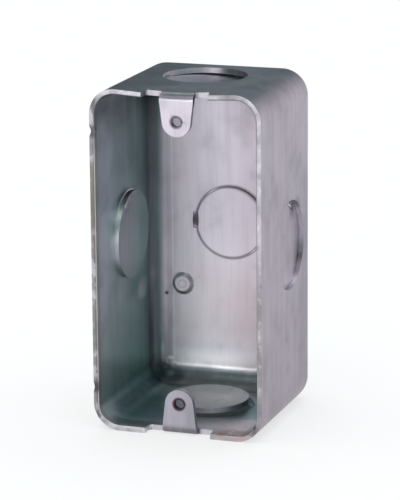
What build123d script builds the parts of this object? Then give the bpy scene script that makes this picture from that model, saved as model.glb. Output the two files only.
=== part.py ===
from build123d import *
import os
from math import cos, radians, tan

# Pressed steel mounting box for one wiring device, drawn from a single sheet.
# It stands on its short end with its mouth towards -Y and its back towards +Y.
# The origin is under the middle of the box, on the surface it stands on.

# Drawn tray, in millimetres
height = 101.6             # outside, along Z
width = 51.6               # outside, along X
depth = 51.4               # from the rim to the outside of the back
sheet = 1.6                # thickness of the steel
corner_radius = 8.0        # outside, where a side wall meets an end wall
back_radius = 7.6          # outside, where the walls turn into the back
rim_round = 0.5            # inner edge of the rim, rolled over where the sheet was trimmed

# Ears for the device screws, folded in from the rim of each end wall
screw_inset = 9.15         # from the outside of an end wall to its screw hole
screw_hole = 3.3           # core of the tapped thread
ear_setback = 1.6          # from the rim to the front of an ear
ear_bend = 0.7             # inside radius of the fold
ear_width = 10.2           # at the fold
ear_tip_radius = 4.3       # round end about the screw hole
notch_width = 20.0         # gap in the rim that an ear is folded from
notch_corner = 1.0

# Knockouts, each sheared free of its wall but for one tie and pushed inwards
side_knockout = 26.6       # diameter in the side walls
end_knockout = 24.8        # diameter in the end walls
back_knockout = 22.2       # diameter in the back
knockout_from_back = 24.0  # centre of a wall's knockout to the outside of the back
knockout_rise = 1.8        # centre of a side or back knockout above mid-height
shear_gap = 0.12           # clearance all round a disc
side_drop = 1.1            # how far a side wall's disc is pushed in at its tie
side_tilt = 1.0            # degrees that it leans in, away from the tie
top_drop = 1.6             # the same for the top's disc
top_tilt = 3.0
bottom_drop = 2.7          # the discs of the bottom and the back are pushed in evenly
back_drop = 0.5
tie_width = 6.0
tie_reach = 1.6            # how far a tie runs into the wall and into the disc
pry_length = 5.0           # screwdriver slot in a disc, opposite its tie
pry_width = 1.8
pry_inset = 1.6            # middle of a wall's slot inside the shear line; the back's lies across the line
back_pry_depth = 1.2       # and is coined, not cut through

# Pip pressed inwards in the lower corner of the back
pip_from_side = 10.4
pip_from_bottom = 32.5
pip_base = 7.0             # diameter at the back
pip_top = 4.6              # diameter at its crown
pip_rise = 0.9

# Places that follow from the sizes
rim_y = -depth / 2
back_y = depth / 2
mid_z = height / 2
ear_fold = ear_bend + sheet
notch_depth = ear_setback + ear_fold
wall_bend = min(back_radius, 0.95 * corner_radius)


def rounded_block(shrink):
    """Solid inside the tray's outer skin, moved in by `shrink` everywhere but at the mouth."""
    rim = Plane(origin=(0, rim_y, mid_z), x_dir=(1, 0, 0), z_dir=(0, 1, 0))
    outline = RectangleRounded(width - 2 * shrink, height - 2 * shrink, corner_radius - shrink)
    block = extrude(rim * outline, depth - shrink)
    back_edges = block.faces().sort_by(Axis.Y)[-1].edges()
    return fillet(back_edges, wall_bend - shrink)


def drawn_tray():
    """Open tray with a rolled inner rim edge and a notch in the rim of each end wall."""
    tray = rounded_block(0) - rounded_block(sheet)
    rim = tray.faces().sort_by(Axis.Y)[0]
    tray = fillet(rim.inner_wires()[0].edges(), rim_round)
    notch = Pos(0, rim_y) * RectangleRounded(notch_width, 2 * notch_depth, notch_corner)
    return tray - extrude(notch, height)


def ear():
    """Ear of the bottom end wall: a strip folded up from the wall, cut to a tapering round-ended tongue."""
    ear_mid = rim_y + ear_setback + sheet / 2
    wall_end = rim_y + notch_depth + sheet
    tip_z = screw_inset + ear_tip_radius
    fold = FilletPolyline(
        (wall_end, sheet / 2), (ear_mid, sheet / 2), (ear_mid, tip_z), radius=ear_bend + sheet / 2
    )
    strip = extrude(Plane.YZ * trace(fold, sheet), ear_width / 2, both=True)
    base = Pos(0, ear_fold / 2) * Rectangle(ear_width, ear_fold)
    tip = Pos(0, screw_inset) * Circle(ear_tip_radius)
    tongue = make_hull(base.edges() + tip.edges()) - Pos(0, screw_inset) * Circle(screw_hole / 2)
    return strip & extrude(Plane.XZ * tongue, depth, both=True)


def knockout(tray, centre, inward, pry_towards, diameter, drop, tilt=0, slot_inset=pry_inset, slot_floor=0):
    """Tray with a knockout: a hole, the disc sheared out of it, and the tie that still holds the disc.

    The disc is pushed `inward` by `drop` at its tie and leans in by `tilt` towards its pry slot. The slot's
    middle is `slot_inset` inside the shear line, and its floor is `slot_floor` above the wall's outside.
    """
    wall = Plane(origin=centre, x_dir=pry_towards, z_dir=inward).location
    radius = diameter / 2
    hole = wall * Pos(0, 0, sheet / 2) * Cylinder(radius, sheet)

    hinge = wall * Pos(-radius, 0, drop) * Rot(0, -tilt, 0)
    disc = hinge * Pos(radius, 0, sheet / 2) * Cylinder(radius - shear_gap, sheet)

    tie_drop = drop + tie_reach * tan(radians(tilt))
    tie_section = Polyline(
        (-radius - tie_reach, 0),
        (-radius - tie_reach, sheet),
        (-radius + tie_reach, tie_drop + sheet / cos(radians(tilt))),
        (-radius + tie_reach, tie_drop),
        close=True,
    )
    tie = wall * extrude(Plane.XZ * make_face(tie_section), tie_width / 2, both=True)

    slot_reach = drop + diameter * tan(radians(tilt)) + 2 * sheet - slot_floor
    slot = extrude(Rectangle(pry_width, pry_length), slot_reach)
    return tray - hole + disc + tie - wall * Pos(radius - slot_inset, 0, slot_floor) * slot


def pip(tray):
    """Tray with a pip: a low cone pressed inwards, as deep outside as it is high inside."""
    crown = Cone(pip_base / 2, pip_top / 2, pip_rise, align=(Align.CENTER, Align.CENTER, Align.MIN))
    outside = Plane(
        origin=(-width / 2 + pip_from_side, back_y, pip_from_bottom), x_dir=(1, 0, 0), z_dir=(0, -1, 0)
    ).location
    return tray + outside * Pos(0, 0, sheet) * crown - outside * crown


def mounting_box():
    box = drawn_tray()
    lower_ear = ear()
    box = box + lower_ear + mirror(lower_ear, Plane.XY.offset(mid_z))
    knockout_y = back_y - knockout_from_back
    knockout_z = mid_z + knockout_rise
    for side in (-1, 1):
        box = knockout(
            box, (side * width / 2, knockout_y, knockout_z), (-side, 0, 0), (0, side, 2),
            side_knockout, side_drop, side_tilt,
        )
    box = knockout(box, (0, knockout_y, height), (0, 0, -1), (1, 0, 0), end_knockout, top_drop, top_tilt)
    box = knockout(box, (0, knockout_y, 0), (0, 0, 1), (-2, -1, 0), end_knockout, bottom_drop)
    back_slot_floor = sheet + back_drop - back_pry_depth
    box = knockout(
        box, (0, back_y, knockout_z), (0, -1, 0), (-1, 0, 0), back_knockout, back_drop,
        slot_inset=0, slot_floor=back_slot_floor,
    )
    return pip(box)


os.makedirs("parts", exist_ok=True)
export_step(mounting_box().solid(), "parts/drawn_box.step")
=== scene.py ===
from math import cos, radians, sin

import bmesh
import bpy
from mathutils import Matrix, Vector


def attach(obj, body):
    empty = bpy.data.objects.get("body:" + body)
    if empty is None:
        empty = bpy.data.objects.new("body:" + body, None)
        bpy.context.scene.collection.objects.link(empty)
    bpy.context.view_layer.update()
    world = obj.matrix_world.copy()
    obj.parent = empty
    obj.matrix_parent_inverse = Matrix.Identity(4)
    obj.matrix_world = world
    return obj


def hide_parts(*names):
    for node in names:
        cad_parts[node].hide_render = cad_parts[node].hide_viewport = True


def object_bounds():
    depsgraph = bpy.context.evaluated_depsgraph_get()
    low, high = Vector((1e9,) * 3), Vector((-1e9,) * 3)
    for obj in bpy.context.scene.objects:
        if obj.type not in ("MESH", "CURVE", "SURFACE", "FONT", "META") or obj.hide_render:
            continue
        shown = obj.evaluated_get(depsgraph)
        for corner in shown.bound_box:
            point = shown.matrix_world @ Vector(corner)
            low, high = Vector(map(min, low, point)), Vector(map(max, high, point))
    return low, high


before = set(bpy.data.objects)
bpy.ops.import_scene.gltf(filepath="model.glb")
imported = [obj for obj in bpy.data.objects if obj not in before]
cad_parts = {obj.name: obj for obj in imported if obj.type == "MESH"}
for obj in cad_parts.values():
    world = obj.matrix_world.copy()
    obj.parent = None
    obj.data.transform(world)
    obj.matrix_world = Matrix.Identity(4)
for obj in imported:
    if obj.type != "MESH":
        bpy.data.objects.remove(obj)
cad_low, cad_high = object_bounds()

# One millimetre, in the scene's metres
MM = 0.001

# Camera, fitted to the outline of the box in the photograph
camera_azimuth = radians(19.198)
camera_elevation = radians(13.769)
camera_roll = radians(-0.491)
camera_place = Vector((266.734, -770.393, 249.432)) * MM
camera_reach = 100.0
focal_pixels = 2851.4
photo_long_side = 500
sensor_width = 36.0

# White card that the box stands on, so wide that its edges stay out of view
floor_half = 20.0
floor_gap = 0.05 * MM
floor_glow = 0.66
floor_grey = 0.36
floor_roughness = 0.9

# Shade on the card under the box's bottom, in millimetres
shaded_glow = 0.03
shaded_radius = 15.0
shaded_fade = 5.0

# Surroundings: white up to the horizon and dim above it, but for two windows that reach higher
dim_colour = "3f5f64"
horizon_top = 0.0
dim_above = 0.12
window_azimuths = (radians(-25), radians(145))
window_rises = (0.40, 0.75)
window_edges = (0.75, 0.66)
window_core = 0.97

# Lights
overhead_strength = 2.6
overhead_spread = radians(90)
front_strength = 0.8
front_spread = radians(18)
front_azimuth = radians(-9)
front_elevation = radians(5)

# Places of the box that the finish follows, in millimetres
height = (cad_high[2] - cad_low[2]) / MM
depth = (cad_high[1] - cad_low[1]) / MM
left_x = cad_low[0] / MM
right_x = cad_high[0] / MM
rim_y = -depth / 2
back_y = depth / 2
sheet = 1.6
back_bend = 7.6
bend_y = back_y - back_bend
screw_inset = 9.15
ear_front = rim_y + 1.6
notch_y = rim_y + 3.9
side_knockout_y = 1.7
back_knockout_z = height / 2 + 1.8
back_knockout_radius = 11.1
pip_x = -15.4
pip_z = 32.5
pip_radius = 3.6

# Reach of a mark along an axis that doesn't limit it, in millimetres
far = 1000.0

# Patterns of the zinc: sizes in millimetres, and how far the streaks and the grain are drawn out
# The real rolling grain is about 0.1 wide, too fine to show here, so it is drawn coarser
mottle_size = 9.0
streak_width = 3.2
streak_stretch = 12.0
grain_width = 0.7
grain_stretch = 30.0
grain_height = 0.008
wear_size = 3.5

# Fineness of all the patterns
noise_detail = 3.0
noise_roughness = 0.55

# Colour of the bare zinc, and its shine, which varies with its mottling
bare_zinc = "a69da9"
mottle_low = 0.3
mottle_high = 0.7
roughness_low = 0.38
roughness_high = 0.48

# Two knocks in the left of the rim, in millimetres
knock_heights = (12.8, 88.8)
knock_pushes = (0.3, 0.55)
knock_reach = Vector((4.0, 2.6, 1.7))

# Sag of the top wall's front, where folding the ear has drawn it down, in millimetres
sag_x = -2.0
sag_behind_rim = 1.0
sag_drop = 0.95
sag_reach = Vector((24.0, 10.0, 8.0))

# Cuts on each side of a knock's or the sag's middle, so that the sheet can bend there
press_cuts = 4

# Finish of the edges
merge_distance = 0.001 * MM
edge_ease = 0.12 * MM
edge_segments = 2
edge_angle = radians(32)

# Thread in the holes of the ears, in millimetres
thread_radius = 1.65
thread_pitch = 0.79
thread_ridge = 0.33

# Steps in each turn of the thread, and sides of its ridge
thread_steps = 40
ridge_sides = 4


def linear(hex_colour):
    """Linear colour of an sRGB hex value such as b9b3bf."""
    channels = [int(hex_colour[i:i + 2], 16) / 255 for i in (0, 2, 4)]
    return tuple(c / 12.92 if c <= 0.04045 else ((c + 0.055) / 1.055) ** 2.4 for c in channels) + (1.0,)


def add_node(tree, kind, settings=None, inputs=None):
    """Adds a node, sets its properties and fills its inputs with values or with links from sockets."""
    node = tree.nodes.new(kind)
    for name, value in (settings or {}).items():
        setattr(node, name, value)
    for key, value in (inputs or {}).items():
        if isinstance(value, bpy.types.NodeSocket):
            tree.links.new(value, node.inputs[key])
        else:
            node.inputs[key].default_value = value
    return node


def new_material(name):
    material = bpy.data.materials.new(name)
    material.use_nodes = True
    material.node_tree.nodes.clear()
    return material, material.node_tree


class Surface:
    """Where a point of the sheet lies and which way it faces, as sockets in a material's nodes.

    Places are in millimetres. Zones of the finish are held by limits: a limit is a value, the level where a
    zone begins and the level where it is full.
    """

    def __init__(self, tree):
        self.tree = tree
        coordinates = add_node(tree, "ShaderNodeTexCoord")
        self.place = add_node(tree, "ShaderNodeVectorMath", {"operation": "SCALE"}, {
            0: coordinates.outputs["Object"],
            "Scale": 1 / MM,
        }).outputs[0]
        axes = add_node(tree, "ShaderNodeSeparateXYZ", inputs={0: self.place})
        self.x, self.y, self.z = (axes.outputs[name] for name in "XYZ")
        normal = add_node(tree, "ShaderNodeNewGeometry").outputs["Normal"]
        facing = add_node(tree, "ShaderNodeSeparateXYZ", inputs={0: normal})
        self.facing_x, self.facing_y, self.facing_z = (facing.outputs[name] for name in "XYZ")
        self.sideways, self.facing_side, self.facing_end = (
            add_node(tree, "ShaderNodeMath", {"operation": "ABSOLUTE"}, {0: value}).outputs[0]
            for value in (self.x, self.facing_x, self.facing_z)
        )
        from_middle = add_node(tree, "ShaderNodeVectorMath", {"operation": "SUBTRACT"}, {
            0: self.place,
            1: (0.0, 0.0, height / 2),
        })
        to_axis = add_node(tree, "ShaderNodeVectorMath", {"operation": "MULTIPLY"}, {
            0: from_middle.outputs[0],
            1: (-1.0, 0.0, -1.0),
        })
        inwards = add_node(tree, "ShaderNodeVectorMath", {"operation": "DOT_PRODUCT"}, {
            0: to_axis.outputs[0],
            1: normal,
        }).outputs["Value"]

        # Limits by the skin of the sheet and the way that it faces
        self.inside = (inwards, 1.0, 8.0)
        self.outside = (inwards, -1.0, -8.0)
        self.to_front = (self.facing_y, -0.90, -0.985)
        self.not_to_rear = (self.facing_y, 0.3, 0.0)
        self.upwards = (self.facing_z, 0.70, 0.95)

        # Limits by the part of the box
        self.on_back = (self.y, 8.0, 12.0)
        self.in_bend = (self.y, bend_y - 1.0, bend_y + 0.5)
        self.on_rim = (self.y, rim_y + 0.5, rim_y + 0.2)
        self.off_rim = (self.y, rim_y + 0.5, rim_y + 0.8)
        self.on_left = (self.x, left_x + 2.6, left_x + 1.4)

        # Soft mottling, broad streaks and the fine rolling grain of the sheet, and the scuffs of its edges
        self.mottle = self.noise(mottle_size, 1.0)
        self.streak = self.noise(streak_width, streak_stretch)
        self.grain = self.noise(grain_width, grain_stretch)
        self.wear = self.noise(wear_size, 1.0)

    def noise(self, size, stretch):
        """Noise whose spots are `size` wide, drawn out up the box by `stretch`."""
        drawn = add_node(self.tree, "ShaderNodeVectorMath", {"operation": "MULTIPLY"}, {
            0: self.place,
            1: (1.0, 1.0, 1 / stretch),
        })
        noise = add_node(self.tree, "ShaderNodeTexNoise", inputs={
            "Vector": drawn.outputs[0],
            "Scale": 1 / size,
            "Detail": noise_detail,
            "Roughness": noise_roughness,
        })
        return noise.outputs["Fac"]

    def distance(self, centre, reach):
        """Distance from a point, as a share of `reach` along each axis."""
        offset = add_node(self.tree, "ShaderNodeVectorMath", {"operation": "SUBTRACT"}, {
            0: self.place,
            1: centre,
        })
        shares = add_node(self.tree, "ShaderNodeVectorMath", {"operation": "DIVIDE"}, {
            0: offset.outputs[0],
            1: reach,
        })
        length = add_node(self.tree, "ShaderNodeVectorMath", {"operation": "LENGTH"}, {0: shares.outputs[0]})
        return length.outputs["Value"]

    def zone(self, limits, strength):
        """Mask of the zone that all of the limits leave, which rises to `strength`."""
        mask = strength
        for value, begins, full in limits:
            rise = add_node(self.tree, "ShaderNodeMapRange", {"interpolation_type": "SMOOTHSTEP"}, {
                "Value": value,
                "From Min": begins,
                "From Max": full,
                "To Max": mask,
            })
            mask = rise.outputs[0]
        return mask


def layer(hex_colour, *limits, strength=1.0):
    """One layer of the finish: its colour, the limits of its zone and how strongly it covers there."""
    return hex_colour, limits, strength


def inside_film_and_painted_shade(s):
    """Film of drawing oil inside the walls, with painted shade that darkens it towards the back, the floor
    and the lower left, and painted light near the mouth and on the floor.
    """
    floor = (s.inside, s.upwards)
    lip = (s.inside, s.off_rim, (s.y, rim_y + 2.4, rim_y + 1.2))
    return [
        layer("cfdde1", s.inside),
        # Painted shade: darker towards the back, towards the floor and low on the left
        layer("9fbdb9", s.inside, (s.y, -20.0, 8.0)),
        layer("7aa6ae", s.inside, (s.z, 10.0, 4.0), strength=0.5),
        layer("86b0aa", s.inside, (s.z, 50.0, 16.0), (s.x, -10.0, -20.0), strength=0.4),
        # Painted light near the mouth, low down
        layer("e4ecf0", s.inside, (s.y, -14.0, -20.0), (s.z, 75.0, 45.0), strength=0.6),
        # Floor: painted light on its rear and on the right of its front, and painted shade on the left of
        # its front
        layer("bccaca", *floor, (s.y, 2.0, 14.0)),
        layer("e8e8e8", *floor, (s.x, -4.0, 4.0), (s.y, -6.0, -12.0)),
        layer("50585e", *floor, (s.x, -4.0, -10.0), (s.y, -18.5, -20.0), strength=0.4),
        # Bare lip behind the rim, with painted shade in its upper left corner
        layer("cfcfca", s.inside, (s.y, rim_y + 3.0, rim_y + 1.6)),
        layer("76787c", *lip, (s.x, -12.0, -20.0), (s.z, 84.0, 90.0), strength=0.6),
    ]


def back_zinc_and_painted_light(s):
    """Bright zinc of the back, with painted light low down and near its left side, a painted highlight along
    its lower bend, painted shade where the left bend begins, and reddish casts.
    """
    back = (s.on_back, (s.facing_y, -0.66, -0.80))
    left_bend = (*back, (s.x, -17.4, -18.6), (s.facing_y, -0.9999, -0.985))
    low_middle = ((s.z, 14.0, 20.0), (s.z, 46.0, 36.0), (s.x, 12.0, 2.0), (s.x, -20.0, -12.0))
    return [
        # Painted light: lighter low down and near the left side, with a painted highlight along the lower
        # bend
        layer("ded7e0", *back),
        layer("beb7c2", *back, (s.z, 12.0, 60.0)),
        layer("eadce6", *back, (s.x, -10.0, -17.0), (s.x, -20.0, -17.5), strength=0.5),
        layer("fffaff", *back, (s.z, 14.0, 9.0)),
        # Painted shade where the left bend begins
        layer("85838e", *left_bend, strength=0.3),
        layer("85838e", *left_bend, (s.facing_y, -0.90, -0.95), strength=0.5),
        # Reddish casts on the right, low on the right and low in the middle; the one on the right is also
        # painted shade
        layer("a8949f", *back, (s.x, -2.0, 12.0), strength=0.45),
        layer("a8868c", *back, (s.x, -8.0, 4.0), (s.z, 12.0, 20.0), (s.z, 40.0, 28.0), strength=0.25),
        layer("a88e8e", *back, *low_middle, strength=0.16),
    ]


def painted_shade_in_bends(s):
    """Painted shade in the bends round the back and in the one between the left wall and the floor, over a
    grey base in the bends.
    """
    low = (s.z, 12.0, 8.0)
    left_line = (s.inside, (s.y, 16.5, 18.0), (s.y, 21.0, 19.5), (s.x, -22.5, -23.8))
    left_corner = (s.inside, (s.facing_x, 0.25, 0.6), (s.facing_z, 0.25, 0.6), low)
    return [
        layer("bcc0c4", s.inside, s.in_bend, (s.facing_y, -0.85, -0.55)),
        # Painted shade along the line where the left wall begins to turn, low down
        layer("2a4448", *left_line, (s.z, 34.0, 16.0), strength=0.5),
        # Painted shade in the lower bend, in two steps from the back to the floor
        layer("7c8284", s.inside, s.in_bend, (s.facing_z, 0.04, 0.26), low),
        layer("a2a6a6", s.inside, s.in_bend, (s.facing_z, 0.60, 0.85), low),
        # Painted shade in the upper bend, and in the bend from the left wall to the floor
        layer("17191c", s.inside, (s.y, 10.0, 17.0), (s.z, 88.0, 94.0)),
        layer("5c7a7c", *left_corner, (s.y, -24.0, -10.0)),
    ]


def painted_shade_high_inside(s):
    """Painted shade high up inside the box, under the top wall, most of all on the left wall."""
    left_front = (s.inside, (s.x, -10.0, -16.0), (s.y, -12.0, -18.0))
    left_behind_lip = (s.inside, (s.x, -10.0, -18.0), (s.y, -20.0, -14.0))
    left_wall = (s.inside, (s.x, -20.0, -23.0))
    return [
        layer("5c6a6a", s.inside, (s.z, 86.0, 97.0), strength=0.5),
        layer("4c5658", *left_front, (s.z, 88.0, 96.0), strength=0.75),
        layer("8a9698", s.inside, (s.z, 66.0, 92.0), (s.y, -8.0, -20.0), strength=0.35),
        layer("2a363a", *left_behind_lip, (s.z, 80.0, 90.0), strength=0.35),
        layer("24343a", *left_wall, (s.z, 56.0, 70.0), (s.y, 6.0, 14.0), strength=0.3),
        layer("5c6a6a", *left_wall, (s.z, 62.0, 74.0), (s.y, -16.0, -8.0), (s.y, 14.0, 8.0), strength=0.25),
    ]


def pip_painted_light_and_shade(s):
    """Painted highlight on the slopes of the pip, with painted shade on its right, and a faint ring on its
    crown.
    """
    from_pip = s.distance((pip_x, back_y, pip_z), (pip_radius, far, pip_radius))
    slope = (s.on_back, (from_pip, 1.1, 1.0), (s.facing_y, -0.97, -0.90), (s.facing_y, -0.3, -0.6))
    crown_ring = ((from_pip, 0.24, 0.30), (from_pip, 0.42, 0.36))
    return [
        layer("fffaff", *slope),
        layer("d6cad4", *slope, (s.facing_x, -0.1, 0.2)),
        layer("6a606a", s.on_back, s.not_to_rear, *crown_ring, strength=0.3),
    ]


def ears_painted_light_and_shade(s):
    """Bright zinc of the ears and of the notches beside them, with painted light up the ears and on their
    sides, and painted shade on their folds.
    """
    ear = (s.off_rim, (s.y, -20.0, -21.5), (s.sideways, 5.8, 5.3))
    notch_edge = ((s.y, notch_y - 0.5, notch_y - 0.1), (s.y, notch_y + 0.7, notch_y + 0.3))
    upper_fold = (s.upwards, (s.z, 98.5, 99.5), (s.y, rim_y + 10.0, rim_y + 5.0))
    return [
        layer("9f9ca6", *ear, s.to_front),
        # Painted light: the ears lighter upwards and on their sides
        layer("c6bfca", *ear, s.to_front, (s.z, 20.0, 80.0)),
        layer("efe9f2", *ear, (s.facing_side, 0.6, 0.8)),
        # Painted shade on the folds of the upper and of the lower ear
        layer("464a50", *ear, (s.facing_y, -0.985, -0.62), (s.z, 97.0, 98.0)),
        layer("5c5860", *ear, (s.z, 3.4, 0.9), strength=0.6),
        layer("bcb8c0", s.to_front, *notch_edge, (s.sideways, 5.8, 6.2)),
        # Painted shade on the top wall behind the upper fold
        layer("3a4248", *upper_fold, (s.sideways, 9.0, 6.0), strength=0.6),
    ]


def sheared_edges_painted_light_and_shade(s):
    """Bare steel at the edges of the knockouts' discs and holes, and the discs themselves, with painted
    light and painted shade on them.
    """
    on_wall = ((s.y, rim_y + 4.0, rim_y + 6.0), (s.y, bend_y - 1.1, bend_y - 2.1))
    disc_edge = (*on_wall, (s.facing_y, -0.2, -0.6))
    wall_inside = right_x - sheet
    side_hole = (*on_wall, (s.facing_side, 0.5, 0.2))
    right_hole = (*side_hole, (s.x, wall_inside + 0.05, wall_inside + 0.2))
    top_inside = height - sheet
    top_hole = (*on_wall, (s.facing_end, 0.5, 0.2), (s.z, top_inside + 0.05, top_inside + 0.2))
    top_disc = (s.upwards, (s.z, 98.0, 98.4), (s.z, 100.5, 100.2))
    from_left_disc = s.distance((left_x + 3.0, 0.0, 0.0), (1.0, far, far))
    left_disc = ((from_left_disc, 0.7, 0.5), (s.facing_x, 0.7, 0.95))
    return [
        layer("d8d2da", *disc_edge),
        # Painted shade on the bottom disc's edge, and a painted highlight on the left disc's edge
        layer("beb8c2", *disc_edge, (s.z, 6.0, 4.5)),
        layer("ffffff", *disc_edge, (s.x, -20.0, -22.0), (s.facing_z, -0.1, 0.2)),
        # Holes of the side walls, with painted light, the right one with painted shade low down
        layer("f4eef8", *side_hole, (s.sideways, wall_inside + 0.05, wall_inside + 0.2)),
        layer("b4acb6", *right_hole, (s.z, 48.5, 46.5), (s.z, 40.5, 42.5)),
        # Hole of the top, with a painted highlight on the left and painted shade on the right, and its disc,
        # with a painted reflection lighter on the left and darker on the right
        layer("d4ced6", *top_hole),
        layer("fffaff", *top_hole, (s.x, -1.0, -7.0)),
        layer("86828a", *top_hole, (s.x, -2.0, 3.0)),
        layer("b4aeb8", *top_disc, (s.x, 0.0, -7.0)),
        layer("8e8a94", *top_disc, (s.x, -2.0, 5.0)),
        # Discs of the left wall and of the bottom, with painted light on the bottom one
        layer("c2bfc6", *left_disc, (s.z, 36.0, 38.0), (s.y, 9.0, -2.0), strength=0.5),
        layer("b2b6b4", s.upwards, (s.z, 3.4, 3.9), (s.z, 5.6, 5.0)),
    ]


def trimmed_rim_and_painted_light(s):
    """Trimmed edge of the sheet at the rim, darkest on the left, with painted highlights on its top left and
    a painted reflection that lightens its right upwards.
    """
    rim = (s.to_front, s.on_rim)
    top_left = (*rim, (s.z, 98.0, 99.4), (s.x, -6.0, -9.0))
    right = (*rim, (s.x, 22.0, 24.0))
    return [
        layer("9a969e", *rim),
        layer("8d898c", *rim, s.on_left),
        layer("6e6b6f", *rim, s.on_left, (s.x, -25.2, -24.6)),
        layer("b6b2ba", *rim, (s.z, 2.6, 1.4)),
        # Painted highlights on the top left, and a painted reflection on the right, darker low down
        layer("a8a4ac", *top_left),
        layer("c0bcc4", *top_left, (s.x, -17.0, -12.0)),
        layer("928d93", *right),
        layer("b4afb8", *right, (s.z, 40.0, 60.0)),
    ]


def outer_walls_and_painted_shade(s):
    """Dull zinc outside the box, with painted shade on the top wall and its bend to the left wall."""
    right_wall = (s.outside, (s.facing_x, 0.70, 0.95))
    top_wall = (s.upwards, (s.z, 100.1, 100.5))
    return [
        # Left wall and the outside of the back
        layer("a3a0a6", s.outside, (s.facing_x, -0.3, -0.7)),
        layer("a3a0a6", (s.facing_y, 0.1, 0.5)),
        # Right wall, duller towards the back and the foot
        layer("8a848f", *right_wall, (s.y, 0.0, 18.0), (s.z, 85.0, 55.0), strength=0.6),
        layer("948a94", *right_wall, (s.z, 45.0, 20.0), strength=0.3),
        layer("b8b0bc", *right_wall, (s.z, 60.0, 80.0), strength=0.3),
        # Painted shade on the top wall, darker to the left, and on its bend to the left wall
        layer("8a8c92", *top_wall, strength=0.75),
        layer("707279", *top_wall, (s.x, 4.0, -16.0), strength=0.8),
        layer("2e3034", (s.facing_x, 0.0, -0.2), (s.facing_z, 0.4, 0.6), (s.z, 96.0, 98.0), strength=0.5),
    ]


def sheet_patterns(s):
    """Streaks, mottling and grain of the sheet, and scuffs along the rim."""
    rim = (s.to_front, s.on_rim)
    return [
        layer("5c6266", (s.streak, 0.50, 0.72), strength=0.11),
        layer("dcd8e0", (s.streak, 0.50, 0.28), strength=0.10),
        layer("6a6a70", (s.mottle, 0.50, 0.72), strength=0.14),
        layer("6a6a70", (s.grain, 0.50, 0.75), strength=0.10),
        layer("e6e2ea", *rim, (s.wear, 0.50, 0.66), strength=0.35),
        layer("545058", *rim, (s.wear, 0.48, 0.34), strength=0.28),
    ]


def back_painted_shade_and_speck(s):
    """Painted shade along the back's sheared line, in its slot and below the pip, and a speck beside the
    pip.
    """
    back = (s.on_back, s.not_to_rear)
    front_of_back = (s.on_back, s.to_front)
    line = back_knockout_radius
    from_middle = s.distance((0.0, back_y, back_knockout_z), (1.0, far, 1.0))
    sheared_line = ((from_middle, line - 0.9, line - 0.2), (from_middle, line + 0.8, line + 0.1))
    wider_line = ((from_middle, line - 1.3, line - 0.4), (from_middle, line + 1.1, line + 0.3))
    upper_right = ((s.x, -3.0, 4.0), (s.z, 50.0, 58.0))
    slot = s.distance((-back_knockout_radius, back_y, back_knockout_z), (1.3, far, 3.0))
    pip_foot = s.distance((pip_x - 0.4, back_y, pip_z - 3.0), (2.8, far, 1.0))
    speck = s.distance((-20.6, back_y, 29.2), (0.8, far, 0.8))
    return [
        layer("6c646e", *front_of_back, *sheared_line, strength=0.8),
        layer("6c646e", *front_of_back, *wider_line, *upper_right, strength=0.35),
        layer("554d58", *back, (slot, 1.1, 0.5)),
        layer("4b454e", *back, (pip_foot, 1.0, 0.3), strength=0.3),
        layer("56505a", *back, (speck, 1.0, 0.3)),
    ]


def corner_patches_and_painted_highlights(s):
    """Dark patches in the lower left corner of the back, with painted highlights on two creases in it."""
    bend = (s.in_bend, s.not_to_rear)
    dark_corner_patch = s.distance((-20.9, back_y, 6.4), (3.0, far, 2.6))
    low_corner_patch = s.distance((-19.0, back_y, 3.4), (5.0, far, 2.0))
    level_crease = s.distance((-19.6, back_y, 8.6), (1.5, far, 0.8))
    upright_crease = s.distance((-21.8, back_y, 11.5), (0.6, far, 2.8))
    return [
        layer("42444c", *bend, (dark_corner_patch, 1.2, 0.5), (s.wear, 0.30, 0.50), strength=0.75),
        layer("3c4648", *bend, (low_corner_patch, 1.2, 0.5), strength=0.75),
        # Painted highlights on two creases
        layer("f0f4f8", *bend, (level_crease, 1.2, 0.3), strength=0.9),
        layer("f0f4f8", *bend, (upright_crease, 1.2, 0.3), strength=0.9),
    ]


def painted_shade_in_ear_holes(s):
    """Painted shade in the tapped holes of the ears, darker in the lower one."""
    layers = []
    for hole_z in (screw_inset, height - screw_inset):
        from_hole = s.distance((0.0, 0.0, hole_z), (thread_radius, far, thread_radius))
        hole = ((s.y, -19.0, -21.0), (from_hole, 1.4, 1.05))
        layers.append(layer("8a7e8a", *hole))
        layers.append(layer("54404a", *hole, (s.z, 40.0, 30.0)))
    return layers


def wall_painted_light_and_shade(s):
    """Painted light on the left wall beside its knockout's tie, and painted shade in the right knockout's
    slot.
    """
    painted_light_spot = s.distance((left_x + sheet, 12.2, 33.4), (2.0, 5.0, 3.8))
    slot = s.distance((right_x, side_knockout_y + 6.5, 62.0), (3.0, 3.4, 4.2))
    return [
        layer("e8ecf0", s.inside, (painted_light_spot, 1.2, 0.3), strength=0.8),
        layer("5a525c", (slot, 1.2, 0.3), strength=0.75),
    ]


def rim_stains_and_painted_shade(s):
    """Rust and pits at the lower right of the rim, painted shade in its knocks and a brown stain up its
    left.
    """
    rust = s.distance((16.0, rim_y, 1.6), (8.5, 8.5, 2.4))
    pits = s.distance((22.6, rim_y, 4.2), (2.0, 3.0, 2.2))
    layers = [
        layer("a88a84", (rust, 1.0, 0.4), (s.wear, 0.25, 0.50), strength=0.7),
        layer("4c2e36", (pits, 1.1, 0.5), (s.wear, 0.32, 0.48), strength=0.9),
    ]
    # Painted shade in the knocks
    for knock_z in knock_heights:
        knock = s.distance((left_x + sheet / 2, rim_y, knock_z), (2.2, 2.4, 2.6))
        layers.append(layer("46424a", (s.facing_x, -0.95, -0.6), (knock, 1.0, 0.3), strength=0.75))
    left_rim = (s.to_front, s.on_rim, s.on_left)
    layers.append(layer("74685e", *left_rim, (s.z, 52.0, 56.0), (s.z, 82.0, 78.0), strength=0.5))
    return layers


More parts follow.
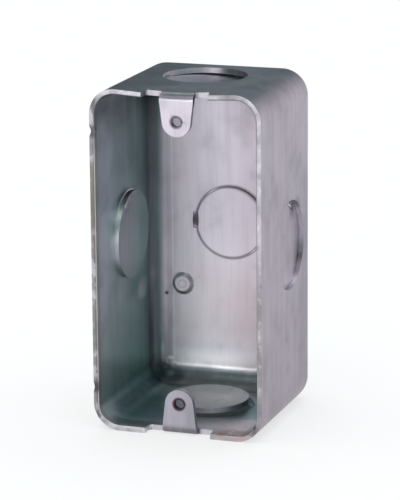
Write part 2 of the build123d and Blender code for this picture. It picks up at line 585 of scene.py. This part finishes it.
def galvanised_steel():
    """Zinc-coated sheet steel, drawn in a press.

    The back and the ears, which the press left alone, keep the sheet's bright zinc and its rolling grain.
    The walls were drawn through the die, so they are duller, and inside they keep a film of drawing oil.
    The rim is scuffed, and one corner of it has rusted.
    Painted shade darkens the sheared lines, slots, bends, ear holes, top wall and the inside high up,
    and painted light and highlights lie on the back, the ears, the pip, the rim and the edges of the
    knockouts.
    """
    material, tree = new_material("galvanised_sheet_steel")
    surface = Surface(tree)
    finishes = (
        inside_film_and_painted_shade, back_zinc_and_painted_light, painted_shade_in_bends, painted_shade_high_inside, pip_painted_light_and_shade, ears_painted_light_and_shade, sheared_edges_painted_light_and_shade,
        trimmed_rim_and_painted_light, outer_walls_and_painted_shade, sheet_patterns, back_painted_shade_and_speck, corner_patches_and_painted_highlights, painted_shade_in_ear_holes, wall_painted_light_and_shade,
        rim_stains_and_painted_shade,
    )
    colour = linear(bare_zinc)
    for finish in finishes:
        for hex_colour, limits, strength in finish(surface):
            colour = add_node(tree, "ShaderNodeMix", {"data_type": "RGBA"}, {
                "Factor": surface.zone(limits, strength),
                6: colour,
                7: linear(hex_colour),
            }).outputs[2]
    roughness = add_node(tree, "ShaderNodeMapRange", inputs={
        "Value": surface.mottle,
        "From Min": mottle_low,
        "From Max": mottle_high,
        "To Min": roughness_low,
        "To Max": roughness_high,
    })
    relief = add_node(tree, "ShaderNodeBump", inputs={
        "Distance": grain_height * MM,
        "Height": surface.grain,
    })
    shader = add_node(tree, "ShaderNodeBsdfPrincipled", inputs={
        "Base Color": colour,
        "Metallic": 1.0,
        "Roughness": roughness.outputs[0],
        "Normal": relief.outputs[0],
    })
    add_node(tree, "ShaderNodeOutputMaterial", inputs={"Surface": shader.outputs[0]})
    return material


def white_card():
    """Matt white card, which the camera and the metal also see glow to an even white."""
    material, tree = new_material("white_card")
    path = add_node(tree, "ShaderNodeLightPath")
    seen = add_node(tree, "ShaderNodeMath", {"operation": "MAXIMUM"}, {
        0: path.outputs["Is Camera Ray"],
        1: path.outputs["Is Glossy Ray"],
    })
    seen = add_node(tree, "ShaderNodeMath", {"operation": "MAXIMUM"}, {
        0: seen.outputs[0],
        1: path.outputs["Is Transmission Ray"],
    })
    # Under the knockout in the bottom it hardly glows, as painted shade under the box
    coordinates = add_node(tree, "ShaderNodeTexCoord")
    outwards = add_node(tree, "ShaderNodeVectorMath", {"operation": "LENGTH"}, {
        0: coordinates.outputs["Object"],
    })
    clear = add_node(tree, "ShaderNodeMapRange", {"interpolation_type": "SMOOTHSTEP"}, {
        "Value": outwards.outputs["Value"],
        "From Min": shaded_radius * MM,
        "From Max": (shaded_radius + shaded_fade) * MM,
        "To Min": shaded_glow,
        "To Max": floor_glow,
    })
    glow = add_node(tree, "ShaderNodeMath", {"operation": "MULTIPLY"}, {
        0: seen.outputs[0],
        1: clear.outputs[0],
    })
    card = add_node(tree, "ShaderNodeBsdfPrincipled", inputs={
        "Base Color": (floor_grey, floor_grey, floor_grey, 1.0),
        "Roughness": floor_roughness,
        "Specular IOR Level": 0.0,
        "Emission Color": (1.0, 1.0, 1.0, 1.0),
        "Emission Strength": glow.outputs[0],
    })
    add_node(tree, "ShaderNodeOutputMaterial", inputs={"Surface": card.outputs[0]})
    return material


def add_object(name, data):
    thing = bpy.data.objects.new(name, data)
    bpy.context.scene.collection.objects.link(thing)
    return thing


def press_in(work, centre, reach, push):
    """Cuts the sheet across around a point, along both of its directions, and presses it in there."""
    centre, reach, push = centre * MM, reach * MM, push * MM
    for axis in range(3):
        if push[axis]:
            continue
        across = Vector([float(axis == i) for i in range(3)])
        for step in range(-press_cuts, press_cuts + 1):
            near = [
                f for f in work.faces
                if all(
                    min(v.co[i] for v in f.verts) < centre[i] + reach[i]
                    and max(v.co[i] for v in f.verts) > centre[i] - reach[i]
                    for i in range(3)
                )
            ]
            edges = {e for f in near for e in f.edges}
            verts = {v for f in near for v in f.verts}
            bmesh.ops.bisect_plane(
                work, geom=[*near, *edges, *verts], dist=merge_distance,
                plane_co=centre + across * reach[axis] * step / press_cuts, plane_no=across,
            )
    for vert in work.verts:
        share = sum(((vert.co[i] - centre[i]) / reach[i]) ** 2 for i in range(3))
        if share < 1:
            vert.co += push * (1 - share) ** 2


def finished_box(steel):
    """The CAD box with joined triangles, eased edges, two knocks in its rim and a sag in its top wall."""
    work = bmesh.new()
    work.from_mesh(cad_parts["drawn_box"].data)
    bmesh.ops.remove_doubles(work, verts=work.verts, dist=merge_distance)
    sharp = [e for e in work.edges if e.is_manifold and e.calc_face_angle() > edge_angle]
    bmesh.ops.bevel(
        work, geom=sharp, offset=edge_ease, segments=edge_segments, profile=0.5, affect="EDGES",
        clamp_overlap=True,
    )
    for knock_z, push in zip(knock_heights, knock_pushes):
        press_in(work, Vector((left_x, rim_y, knock_z)), knock_reach, Vector((push, 0.0, 0.0)))
    sag_centre = Vector((sag_x, rim_y + sag_behind_rim, height))
    press_in(work, sag_centre, sag_reach, Vector((0.0, 0.0, -sag_drop)))
    for face in work.faces:
        face.smooth = True
    mesh = bpy.data.meshes.new("galvanised_box")
    work.to_mesh(mesh)
    work.free()
    normals = mesh.attributes.get("custom_normal")
    if normals:
        mesh.attributes.remove(normals)
    mesh.materials.clear()
    mesh.materials.append(steel)
    box = add_object("galvanised_box", mesh)
    weighted = box.modifiers.new("weighted_normals", "WEIGHTED_NORMAL")
    weighted.keep_sharp = True
    return box


def thread_tree(steel):
    """Geometry Nodes tree that sweeps a ridge along a helix in each of two holes, one above the other."""
    tree = bpy.data.node_groups.new("screw_thread", "GeometryNodeTree")
    for name in ("Radius", "Length", "Turns", "Ridge", "Front", "Low", "Rise"):
        tree.interface.new_socket(name, in_out="INPUT", socket_type="NodeSocketFloat")
    tree.interface.new_socket("Thread", in_out="OUTPUT", socket_type="NodeSocketGeometry")
    sizes = add_node(tree, "NodeGroupInput").outputs
    helix = add_node(tree, "GeometryNodeCurveSpiral", inputs={
        "Resolution": thread_steps,
        "Rotations": sizes["Turns"],
        "Start Radius": sizes["Radius"],
        "End Radius": sizes["Radius"],
        "Height": sizes["Length"],
    })
    ridge = add_node(tree, "GeometryNodeCurvePrimitiveCircle", inputs={
        "Resolution": ridge_sides,
        "Radius": sizes["Ridge"],
    })
    sweep = add_node(tree, "GeometryNodeCurveToMesh", inputs={
        "Curve": helix.outputs[0],
        "Profile Curve": ridge.outputs[0],
        "Fill Caps": True,
    })
    lowest = add_node(tree, "ShaderNodeCombineXYZ", inputs={"Y": sizes["Front"], "Z": sizes["Low"]})
    step = add_node(tree, "ShaderNodeCombineXYZ", inputs={"Z": sizes["Rise"]})
    holes = add_node(tree, "GeometryNodeMeshLine", inputs={
        "Count": 2,
        "Start Location": lowest.outputs[0],
        "Offset": step.outputs[0],
    })
    both = add_node(tree, "GeometryNodeInstanceOnPoints", inputs={
        "Points": holes.outputs[0],
        "Instance": sweep.outputs[0],
        "Rotation": (radians(-90), 0, 0),
    })
    real = add_node(tree, "GeometryNodeRealizeInstances", inputs={0: both.outputs[0]})
    finish = add_node(tree, "GeometryNodeSetMaterial", inputs={0: real.outputs[0], "Material": steel})
    add_node(tree, "NodeGroupOutput", inputs={0: finish.outputs[0]})
    return tree


def ear_threads(steel):
    """Thread cut in the holes of both ears."""
    tree = thread_tree(steel)
    maker = add_object("thread_maker", bpy.data.meshes.new("thread_maker"))
    modifier = maker.modifiers.new("thread", "NODES")
    modifier.node_group = tree
    sizes = {
        "Radius": thread_radius * MM,
        "Length": sheet * MM,
        "Turns": sheet / thread_pitch,
        "Ridge": thread_ridge * MM,
        "Front": ear_front * MM,
        "Low": screw_inset * MM,
        "Rise": (height - 2 * screw_inset) * MM,
    }
    for socket in tree.interface.items_tree:
        if socket.name in sizes:
            modifier[socket.identifier] = sizes[socket.name]
    evaluated = maker.evaluated_get(bpy.context.evaluated_depsgraph_get())
    mesh = bpy.data.meshes.new_from_object(evaluated)
    bpy.data.objects.remove(maker)
    mesh.name = "ear_threads"
    return add_object("ear_threads", mesh)


def build_camera():
    data = bpy.data.cameras.new("photo_camera")
    data.sensor_width = sensor_width
    data.lens = sensor_width * focal_pixels / photo_long_side
    data.clip_end = camera_reach
    camera = add_object("photo_camera", data)
    back = Vector((
        sin(camera_azimuth) * cos(camera_elevation),
        -cos(camera_azimuth) * cos(camera_elevation),
        sin(camera_elevation),
    ))
    level = Vector((cos(camera_azimuth), sin(camera_azimuth), 0))
    upright = back.cross(level)
    right = cos(camera_roll) * level + sin(camera_roll) * upright
    up = cos(camera_roll) * upright - sin(camera_roll) * level
    turn = Matrix((right, up, back)).transposed().to_4x4()
    camera.matrix_world = Matrix.Translation(camera_place) @ turn
    bpy.context.scene.camera = camera


def build_stage():
    mesh = bpy.data.meshes.new("floor")
    corners = [(x * floor_half, y * floor_half, -floor_gap) for x, y in ((-1, -1), (1, -1), (1, 1), (-1, 1))]
    mesh.from_pydata(corners, [], [(0, 1, 2, 3)])
    mesh.materials.append(white_card())
    add_object("floor", mesh)


def soft_light(name, azimuth, elevation, strength, spread):
    """Wide light far away, which shines on the box from an azimuth and an elevation."""
    data = bpy.data.lights.new(name, "SUN")
    data.energy = strength
    data.angle = spread
    light = add_object(name, data)
    towards = Vector((sin(azimuth) * cos(elevation), -cos(azimuth) * cos(elevation), sin(elevation)))
    light.rotation_mode = "QUATERNION"
    light.rotation_quaternion = towards.to_track_quat("Z", "Y")


def build_surroundings():
    """White surroundings up to the horizon and dim ones above it, but for two tall bright windows."""
    world = bpy.data.worlds.new("studio")
    bpy.context.scene.world = world
    world.use_nodes = True
    tree = world.node_tree
    tree.nodes.clear()
    direction = add_node(tree, "ShaderNodeTexCoord").outputs["Generated"]
    parts = add_node(tree, "ShaderNodeSeparateXYZ", inputs={0: direction})
    bright_up_to = dim_above
    for azimuth, rise, edge in zip(window_azimuths, window_rises, window_edges):
        towards = add_node(tree, "ShaderNodeVectorMath", {"operation": "DOT_PRODUCT"}, {
            0: direction,
            1: (sin(azimuth), -cos(azimuth), 0.0),
        })
        window = add_node(tree, "ShaderNodeMapRange", inputs={
            "Value": towards.outputs["Value"],
            "From Min": edge,
            "From Max": window_core,
            "To Max": rise,
        })
        raised = add_node(tree, "ShaderNodeMath", inputs={0: window.outputs[0], 1: bright_up_to})
        bright_up_to = raised.outputs[0]
    above = add_node(tree, "ShaderNodeMapRange", {"interpolation_type": "SMOOTHSTEP"}, {
        "Value": parts.outputs["Z"],
        "From Min": horizon_top,
        "From Max": bright_up_to,
    })
    tint = add_node(tree, "ShaderNodeMix", {"data_type": "RGBA"}, {
        "Factor": above.outputs[0],
        6: (1.0, 1.0, 1.0, 1.0),
        7: linear(dim_colour),
    })
    glow = add_node(tree, "ShaderNodeBackground", inputs={"Color": tint.outputs[2], "Strength": 1.0})
    add_node(tree, "ShaderNodeOutputWorld", inputs={"Surface": glow.outputs[0]})


galvanised = galvanised_steel()
box = finished_box(galvanised)
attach(box, "root")
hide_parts("drawn_box")
threads = ear_threads(galvanised)
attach(threads, "root")
build_camera()
build_stage()
build_surroundings()
soft_light("overhead_softbox", 0.0, radians(90), overhead_strength, overhead_spread)
soft_light("front_softbox", front_azimuth, front_elevation, front_strength, front_spread)
bpy.context.scene.view_settings.view_transform = "Standard"
